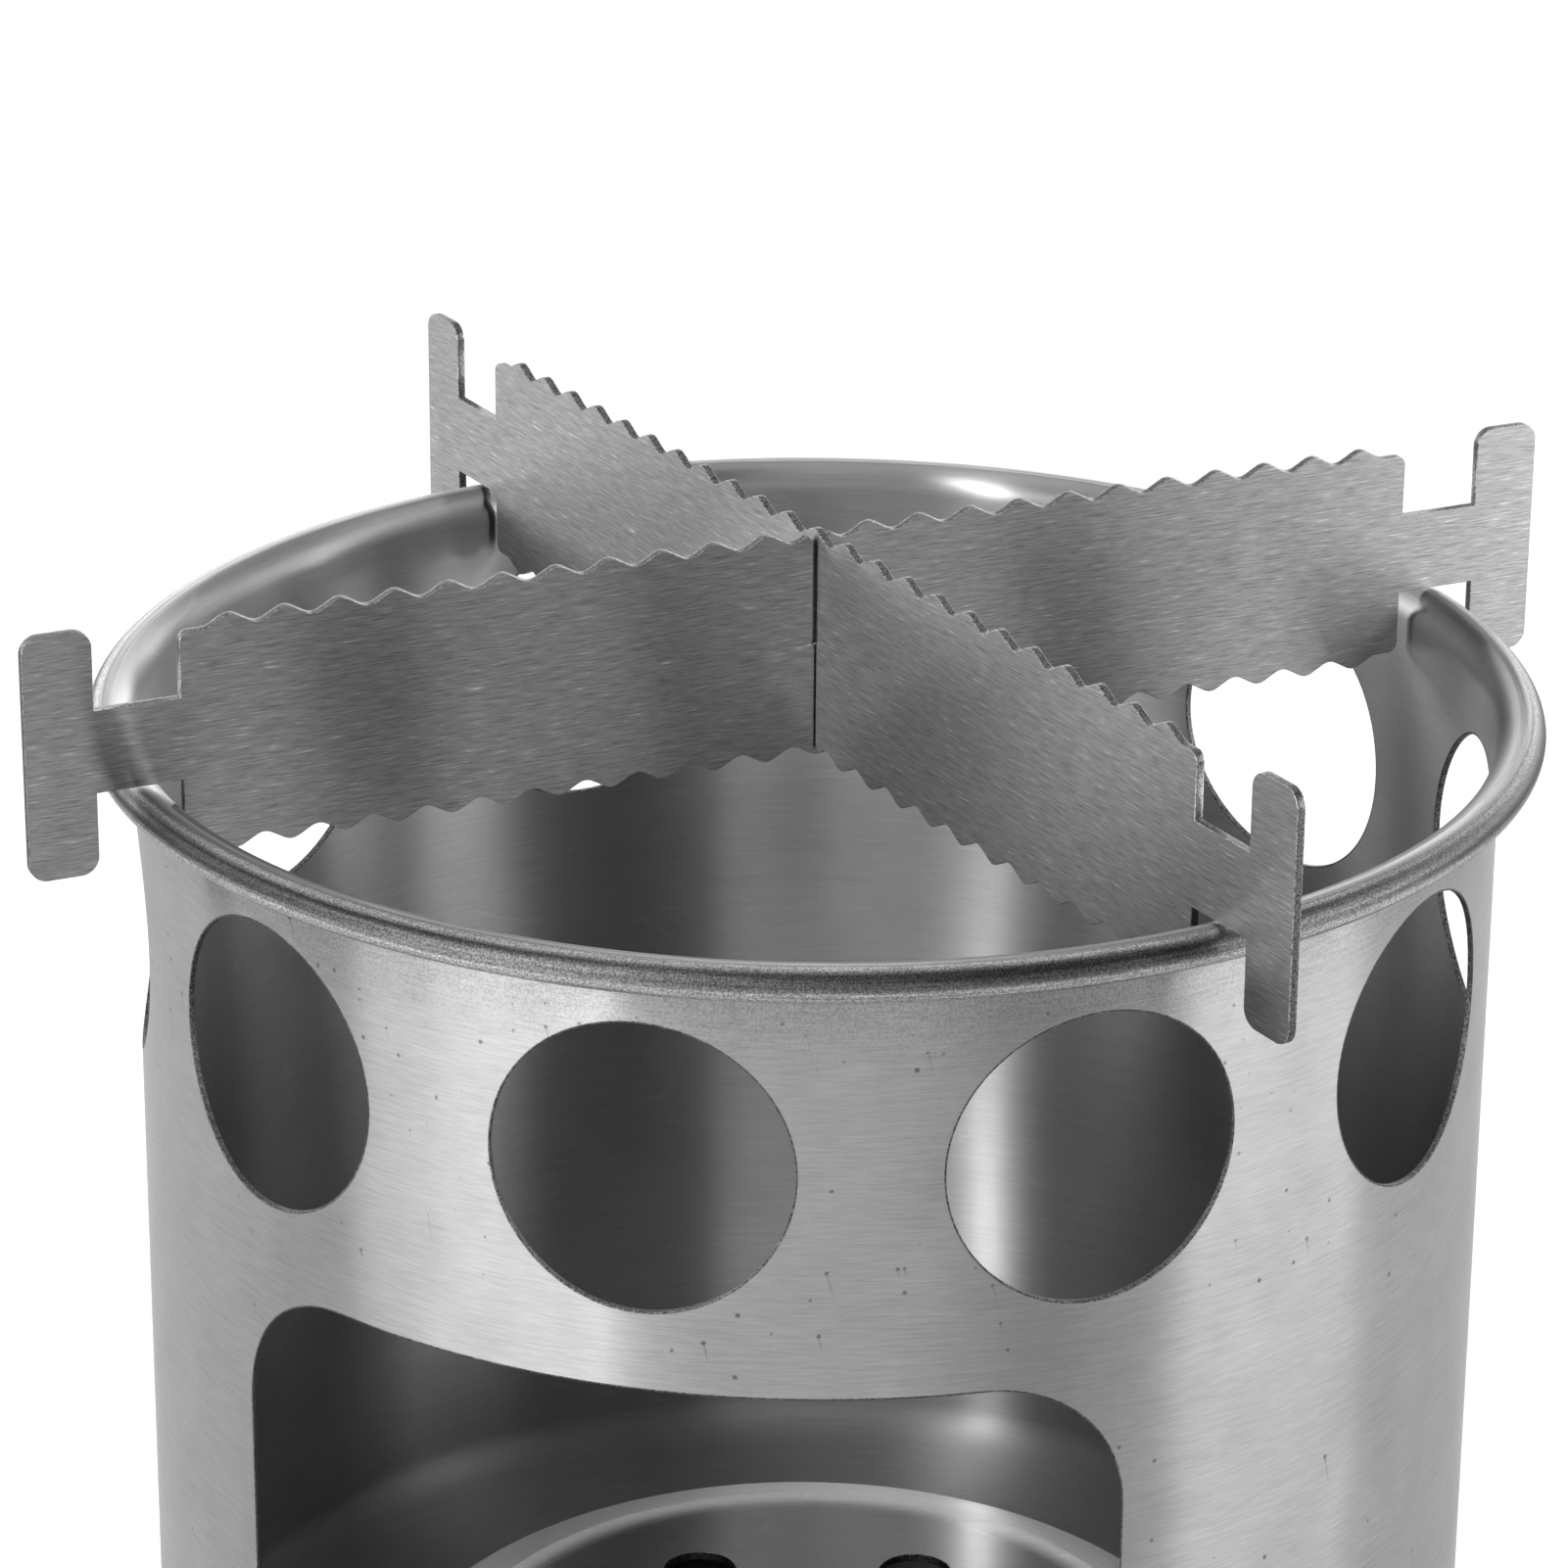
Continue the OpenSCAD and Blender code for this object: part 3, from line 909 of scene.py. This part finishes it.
def plate_piece(node, finishes):
    """A plate standing on edge. Its cut edge is the outline moved back and carried through
    the thickness along a rounded profile, and the two faces are filled between its ends."""
    outline = plate_outline(node == "support_plate_lower")
    rows = edge_profile(plate_t)
    turn = plate_turn[node]
    along = np.array([np.cos(turn), np.sin(turn), 0])
    normal = np.array([np.sin(turn), -np.cos(turn), 0])
    edges = np.stack([inset(outline, back) for back in rows[:, 0]])
    points = edges[..., :1] * along + edges[..., 1:] * [0, 0, 1] + [0, 0, plate_z]
    points = points + (plate_t / 2 - rows[:, 1])[:, None, None] * normal
    count = len(outline)
    index = np.arange(len(rows) * count).reshape(len(rows), count)
    index = np.concatenate([index, index[:, :1]], 1)
    quads = np.stack([index[:-1, :-1], index[:-1, 1:], index[1:, 1:], index[1:, :-1]], -1).reshape(-1, 4)
    border, tris = filled([edges[0]])
    back_tris = tris[:, ::-1]
    mesh = bpy.data.meshes.new(node)
    faces = quads.tolist() + index[-1][tris].tolist() + index[0][back_tris].tolist()
    mesh.from_pydata(points.reshape(-1, 3), [], faces)
    run = np.broadcast_to(lengths(np.append(outline, outline[:1], 0))[None, :], index.shape)
    place = np.stack([run, np.broadcast_to(rows[:, 1:], index.shape)], -1)
    edge_at = np.stack([place[:-1, :-1], place[:-1, 1:], place[1:, 1:], place[1:, :-1]], -2)
    faces_at = [edge_at.reshape(-1, 2), border[tris].reshape(-1, 2), border[back_tris].reshape(-1, 2)]
    mesh.uv_layers.new(name="sheet")
    mesh.uv_layers["sheet"].data.foreach_set("uv", np.concatenate(faces_at).ravel())
    finish = np.repeat([1, 0, 0], [len(quads), len(tris), len(tris)])
    mesh.polygons.foreach_set("material_index", finish)
    mesh.polygons.foreach_set("use_smooth", finish == 1)
    mesh.update()
    for material in finishes:
        mesh.materials.append(material)
    piece = bpy.data.objects.new(node.replace("support_plate", "plate"), mesh)
    bpy.context.scene.collection.objects.link(piece)
    return piece


plate_grey = 0.42
plate_line_l = 2.6 * mm
plate_line_w = 0.16 * mm
plate_scratch = {"Rotation": (0, 0, 0.5), "Scale": (0.3, 1, 1)}
plate_scratch_cell = 6 * mm
plate_relief = 5e-6
tumbled_relief = 2e-5


def build_plate_face(tree, shader):
    """Short coarse lines along the plate, some of them bright, and a few long scratches."""
    brushed = use_group(tree, brushing, {"Place": straight_lines(tree, plate_line_l, plate_line_w)})
    flat, _ = sheet_place(tree)
    tilted = put(tree, "ShaderNodeMapping", None, {"Vector": flat, **plate_scratch}).outputs[0]
    lines = use_group(tree, scratches, {"Place": tilted, "Cell": plate_scratch_cell})["Mask"]
    grey = varied(tree, plate_grey, brushed["Lines"], -0.2, 2.2)
    grey = brighten(tree, grey, ramp_between(tree, brushed["Lines"], 0.58, 0.7), 0.55)
    set_grey(tree, shader, brighten(tree, grey, lines, 0.1))
    set_relief(tree, shader, brushed["Lines"], plate_relief)


def build_plate_edge(tree, shader):
    """Cut by a laser and tumbled: a sandy grain of dark specks, and painted highlights along
    both borders of the thickness, which make them brighter than its middle."""
    coarse = noise(tree, scaled(tree, object_place(tree), cut_grain), 3.0, 0.7)
    depth = sums(tree, "DIVIDE", sheet_place(tree)[1][1], plate_t)
    off = sums(tree, "ABSOLUTE", sums(tree, "SUBTRACT", depth, 0.5))
    # painted highlight: the colour is brighter along both borders of the thickness than in its middle
    grey = swing(tree, ramp_between(tree, off, 0.3, 0.44), 1.1 * cut_grey, 2.4 * cut_grey)
    set_grey(tree, shader, darken(tree, grey, ramp_between(tree, coarse, 0.44, 0.6), 0.7))
    set_relief(tree, shader, coarse, tumbled_relief)


plate_face = steel("plate_face", plate_grey, 0.28, 1.0, build_plate_face)
plate_cut = steel("plate_cut_edge", cut_grey, 0.4, 0.0, build_plate_edge)
for node in ("support_plate_lower", "support_plate_upper"):
    plate = plate_piece(node, [plate_face, plate_cut])
    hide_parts(node)
    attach(plate, plate_body[node])


# The studio: a pale floor, a surround that is white at the sides and greyer behind the
# camera, and two large soft lamps at the front left and the right.
camera_turn = np.radians(13.4)
camera_away = 483.62 * mm
camera_up = 292.85 * mm
camera_aim = bead_z
camera_pan, camera_tilt, camera_roll = np.radians([-0.304, -0.814, 0.573])
camera_lens = 135
camera_sensor = 36
lamp_aim = (0, 0, 80 * mm)


def aim_camera():
    """A camera at its azimuth, distance and height, aimed at the middle of the rim, and then
    panned, tilted and rolled."""
    stand = round_axis(camera_turn, camera_away, camera_up)
    ahead = np.array([0, 0, camera_aim]) - stand
    ahead /= np.linalg.norm(ahead)
    right = np.cross(ahead, [0, 0, 1])
    right /= np.linalg.norm(right)
    up = np.cross(right, ahead)
    ahead = ahead + np.tan(camera_pan) * right + np.tan(camera_tilt) * up
    ahead /= np.linalg.norm(ahead)
    right = np.cross(ahead, up)
    right /= np.linalg.norm(right)
    up = np.cross(right, ahead)
    rolled_right = np.cos(camera_roll) * right + np.sin(camera_roll) * up
    rolled_up = np.cos(camera_roll) * up - np.sin(camera_roll) * right
    camera = bpy.data.objects.new("camera", bpy.data.cameras.new("camera"))
    camera.data.lens = camera_lens
    camera.data.sensor_width = camera_sensor
    turn = np.eye(4)
    turn[:3] = np.stack([rolled_right, rolled_up, -ahead, stand], -1)
    camera.matrix_world = Matrix(turn.tolist())
    bpy.context.scene.collection.objects.link(camera)
    bpy.context.scene.camera = camera


def soft_lamp(name, azimuth, away, up, size, power):
    """A rectangular lamp at an azimuth from the camera's, in degrees, aimed at the pot. Its
    distance, height and size are in metres, and its power in watts."""
    lamp = bpy.data.objects.new(name, bpy.data.lights.new(name, "AREA"))
    lamp.data.shape = "RECTANGLE"
    lamp.data.size, lamp.data.size_y = size
    lamp.data.energy = power
    lamp.location = round_axis(camera_turn + np.radians(azimuth), away, up)
    aim = Vector(lamp_aim) - lamp.location
    lamp.rotation_euler = aim.to_track_quat("-Z", "Y").to_euler()
    lamp.visible_camera = False
    bpy.context.scene.collection.objects.link(lamp)


aim_camera()
soft_lamp("lamp_left", azimuth=-55, away=0.9, up=0.3, size=(0.66, 0.6), power=3.67)
soft_lamp("lamp_left_core", azimuth=-48.5, away=0.88, up=0.22, size=(0.38, 0.42), power=0.9)
soft_lamp("lamp_left_strip", azimuth=-33.1, away=0.86, up=0.6, size=(0.078, 1.1), power=3.4)
soft_lamp("lamp_right", azimuth=77.3, away=0.9, up=0.3, size=(0.61, 0.6), power=4.7)

floor_half = 6
floor_grey = 0.55
floor_glow = 0.55
floor_corners = [(-floor_half, -floor_half, 0), (floor_half, -floor_half, 0),
                 (floor_half, floor_half, 0), (-floor_half, floor_half, 0)]
floor_mesh = bpy.data.meshes.new("floor")
floor_mesh.from_pydata(floor_corners, [], [(0, 1, 2, 3)])
floor = bpy.data.objects.new("floor", floor_mesh)
bpy.context.scene.collection.objects.link(floor)
floor_material = bpy.data.materials.new("floor")
floor_material.use_nodes = True
tree = floor_material.node_tree
tree.nodes.clear()
matt = put(tree, "ShaderNodeBsdfDiffuse", None, {0: (*[floor_grey] * 3, 1)})
glow = put(tree, "ShaderNodeEmission", None, {0: (1, 1, 1, 1), 1: floor_glow})
path = put(tree, "ShaderNodeLightPath")
seen = sums(tree, "MAXIMUM", path.outputs["Is Camera Ray"], path.outputs["Is Transmission Ray"])
none = put(tree, "ShaderNodeEmission", None, {0: (0, 0, 0, 1), 1: 0.0})
lit = put(tree, "ShaderNodeMixShader", None, {0: seen, 1: none.outputs[0], 2: glow.outputs[0]})
both = put(tree, "ShaderNodeAddShader", None, {0: matt.outputs[0], 1: lit.outputs[0]})
tree.links.new(both.outputs[0], put(tree, "ShaderNodeOutputMaterial").inputs[0])
floor_mesh.materials.append(floor_material)

behind_level = 0.9
round_levels = (
    (-160, 1.0), (-118, 1.2), (-100, 0.9), (-88, 0.45), (-75, 0.5), (-30, 0.66), (-12, 0.74), (12, 0.7),
    (24, 0.42), (32, 0.0), (40, 0.0), (52, 0.32), (60, 0.5), (74, 0.3), (88, 0.2), (98, 0.95),
    (125, 1.1), (160, 1.0))
low_rise, high_rise = 0.12, 0.55
low_share, high_share = 3.2, 0.45
overhead_share = 0.6
world = bpy.data.worlds.new("surround")
world.use_nodes = True
bpy.context.scene.world = world
tree = world.node_tree
tree.nodes.clear()
path = put(tree, "ShaderNodeLightPath")
sideways, back, rise = axes(tree, put(tree, "ShaderNodeTexCoord").outputs["Generated"])
azimuth = sums(tree, "ARCTAN2", sideways, sums(tree, "MULTIPLY", back, -1.0))
share = sums(tree, "DIVIDE", sums(tree, "SUBTRACT", azimuth, float(camera_turn)), 2 * np.pi)
share = sums(tree, "FRACT", sums(tree, "ADD", share, 1.5))
stops = put(tree, "ShaderNodeValToRGB", None, {0: share})
elements = stops.color_ramp.elements
for end, element in enumerate(elements):
    element.position, element.color = end, (*[behind_level] * 3, 1)
for degrees, level in round_levels:
    elements.new(0.5 + degrees / 360).color = (*[level] * 3, 1)
dim_above = put(tree, "ShaderNodeMapRange", None, {
    0: rise, 1: low_rise, 2: high_rise, 3: low_share, 4: high_share}).outputs[0]
overhead = ramp_between(tree, rise, 0.6, 0.95)
surround = put(tree, "ShaderNodeBackground", None, {
    0: stops.outputs[0], 1: sums(tree, "MULTIPLY_ADD", overhead, overhead_share, dim_above)})
white = put(tree, "ShaderNodeBackground", None, {0: (1, 1, 1, 1), 1: 1.0})
backdrop = put(tree, "ShaderNodeMixShader", None, {
    0: path.outputs["Is Camera Ray"], 1: surround.outputs[0], 2: white.outputs[0]})
tree.links.new(backdrop.outputs[0], put(tree, "ShaderNodeOutputWorld").inputs[0])
bpy.context.scene.view_settings.view_transform = "Standard"
